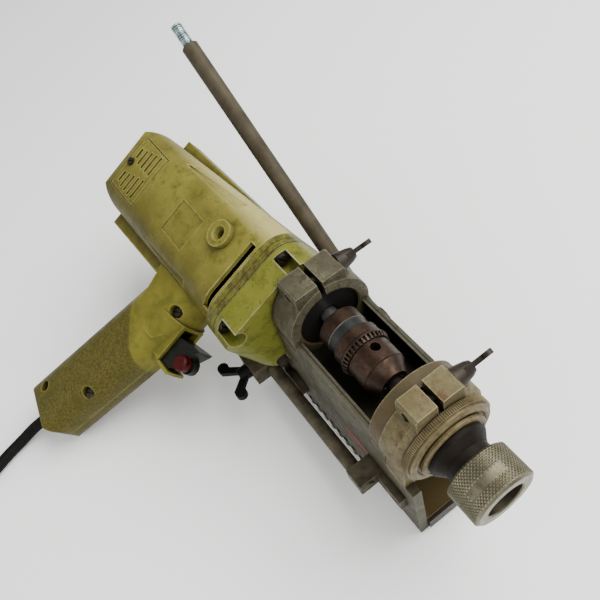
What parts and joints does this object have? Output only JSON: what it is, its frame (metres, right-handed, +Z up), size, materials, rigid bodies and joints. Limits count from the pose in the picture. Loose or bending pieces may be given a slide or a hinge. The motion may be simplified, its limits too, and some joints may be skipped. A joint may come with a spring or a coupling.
{
  "type": "drill in lever-feed drilling carrier",
  "caption": "Pistol-grip electric drill clamped in a cast drilling carrier with feed lever, rack and pinion, depth stop rod, bearing spindle and knurled collet nut, on its cord.",
  "frame": {"origin": "centre of the carrier's base, on the surface it rests on", "axes": "+X along the drill axis towards the collet nut, +Z up, +Y towards the side of the feed lever"},
  "size_m": [0.4093, 0.4559, 0.1952],
  "materials": {
    "frame_paint": "worn warm grey paint on a cast light alloy",
    "dark_steel": "dull dark steel",
    "black_steel": "blackened steel",
    "grey_steel": "dull grey steel",
    "rusty_steel": "brown tarnished steel",
    "zinc": "bright zinc plating",
    "worn_metal": "worn warm silver-grey steel",
    "bronze": "plain bronze",
    "copper": "copper segments",
    "olive_plastic": "dirty olive-yellow moulded plastic",
    "gear_paint": "yellow-green paint on a light alloy",
    "black_plastic": "black moulded plastic",
    "red_plastic": "dark red moulded plastic",
    "black_rubber": "dull black rubber"
  },
  "bodies": {
    "carrier": {"carrier_frame": "frame_paint", "rear_clamp": "frame_paint", "front_clamp": "worn_metal", "rear_stop_block": "rusty_steel", "front_stop_block": "rusty_steel", "block_screws": "dark_steel", "bearing_sleeve": "worn_metal", "front_bush": "bronze", "rear_bush": "bronze", "retaining_ring": "worn_metal", "motor_housing": "olive_plastic", "vent_covers": "olive_plastic", "vent_screws": "dark_steel", "stator": "grey_steel", "brush_holders": "black_plastic", "motor_bearings": "grey_steel", "bearing_plate": "gear_paint", "gear_housing": "gear_paint", "gear_screws": "dark_steel", "spindle_bearings": "grey_steel", "handle_right": "olive_plastic", "handle_left": "olive_plastic", "handle_screws": "dark_steel", "switch_body": "black_plastic", "cord_grommet": "black_rubber", "cord_lead": "black_rubber", "cord_coil": "black_rubber", "cord_tie": "black_plastic", "plug": "black_rubber"},
    "rear_screw": {"rear_wing_screw": "dark_steel"},
    "front_screw": {"front_wing_screw": "dark_steel"},
    "stop_bolt": {"stop_wing_bolt": "black_steel"},
    "stop_slider": {"stop_rod": "rusty_steel"},
    "feed_lever": {"lever_rod": "grey_steel", "lever_stud": "zinc", "lever_hub": "dark_steel", "pinion_shaft": "grey_steel", "feed_pinion": "grey_steel", "shaft_cap": "grey_steel"},
    "rack": {"rack_bar": "dark_steel"},
    "spindle": {"drill_spindle": "grey_steel", "spindle_gear": "grey_steel", "chuck_body": "rusty_steel", "drive_spindle": "black_steel", "collet": "grey_steel"},
    "armature": {"armature_shaft": "grey_steel", "armature_core": "grey_steel", "commutator": "copper", "cooling_fan": "black_plastic"},
    "key_sleeve": {"chuck_sleeve": "rusty_steel"},
    "jaw_a": {"jaw_one": "grey_steel"},
    "jaw_b": {"jaw_two": "grey_steel"},
    "jaw_c": {"jaw_three": "grey_steel"},
    "ring": {"knurled_ring": "worn_metal"},
    "nut": {"collet_nut": "worn_metal"},
    "trigger": {"trigger": "black_plastic"},
    "lock": {"lock_button": "red_plastic"}
  },
  "joints": [
    {"name": "rear_screw_turn", "type": "hinge", "parent": "carrier", "child": "rear_screw", "pos_m": [-0.0396, 0, 0.1284], "axis": [0, 1, 0], "range_deg": [-15, 345]},
    {"name": "front_screw_turn", "type": "hinge", "parent": "carrier", "child": "front_screw", "pos_m": [0.0644, 0, 0.131], "axis": [0, 1, 0], "range_deg": [-15, 345]},
    {"name": "stop_bolt_turn", "type": "hinge", "parent": "carrier", "child": "stop_bolt", "pos_m": [-0.0715, -0.056, 0.042], "axis": [0, -1, 0], "range_deg": [-345, 15]},
    {"name": "stop_slide", "type": "slide", "parent": "carrier", "child": "stop_slider", "axis": [1, 0, 0], "range_m": [0, 0.06]},
    {"name": "lever_feed", "type": "hinge", "parent": "carrier", "child": "feed_lever", "pos_m": [-0.0492, 0, 0.0252], "axis": [0, 1, 0], "range_deg": [-38, 40]},
    {"name": "rack_slide", "type": "slide", "parent": "carrier", "child": "rack", "axis": [1, 0, 0], "range_m": [-0.00838, 0.00797]},
    {"name": "spindle_spin", "type": "hinge", "parent": "carrier", "child": "spindle", "pos_m": [0, 0, 0.102], "axis": [1, 0, 0], "continuous": true},
    {"name": "armature_spin", "type": "hinge", "parent": "carrier", "child": "armature", "pos_m": [-0.15, -0.0193, 0.09373], "axis": [1, 0, 0], "continuous": true},
    {"name": "key_sleeve_turn", "type": "hinge", "parent": "spindle", "child": "key_sleeve", "pos_m": [0, 0, 0.102], "axis": [1, 0, 0], "range_deg": [0, 720]},
    {"name": "jaw_a_slide", "type": "slide", "parent": "spindle", "child": "jaw_a", "axis": [-0.9781, -0.1801, 0.104], "range_m": [0, 0.004]},
    {"name": "jaw_b_slide", "type": "slide", "parent": "spindle", "child": "jaw_b", "axis": [-0.9781, 0, -0.2079], "range_m": [0, 0.004]},
    {"name": "jaw_c_slide", "type": "slide", "parent": "spindle", "child": "jaw_c", "axis": [-0.9781, 0.1801, 0.104], "range_m": [0, 0.004]},
    {"name": "ring_turn", "type": "hinge", "parent": "carrier", "child": "ring", "pos_m": [0.077, 0, 0.102], "axis": [1, 0, 0], "range_deg": [-90, 90]},
    {"name": "nut_turn", "type": "hinge", "parent": "spindle", "child": "nut", "pos_m": [0.107, 0, 0.102], "axis": [1, 0, 0], "range_deg": [0, 360]},
    {"name": "trigger_press", "type": "slide", "parent": "carrier", "child": "trigger", "axis": [-1, 0, 0], "range_m": [0, 0.005], "stiffness_N_per_m": 600, "springref_m": -0.002},
    {"name": "lock_press", "type": "slide", "parent": "trigger", "child": "lock", "axis": [0, 0.3939, -0.9191], "range_m": [0, 0.0025], "stiffness_N_per_m": 400, "springref_m": -0.002}
  ],
  "couplings": [
    {"joint": "rack_slide", "follows": "lever_feed", "m_per_rad": -0.012},
    {"joint": "armature_spin", "follows": "spindle_spin", "ratio": -4.25},
    {"joint": "jaw_a_slide", "follows": "key_sleeve_turn", "m_per_rad": 0.000318},
    {"joint": "jaw_b_slide", "follows": "key_sleeve_turn", "m_per_rad": 0.000318},
    {"joint": "jaw_c_slide", "follows": "key_sleeve_turn", "m_per_rad": 0.000318}
  ]
}
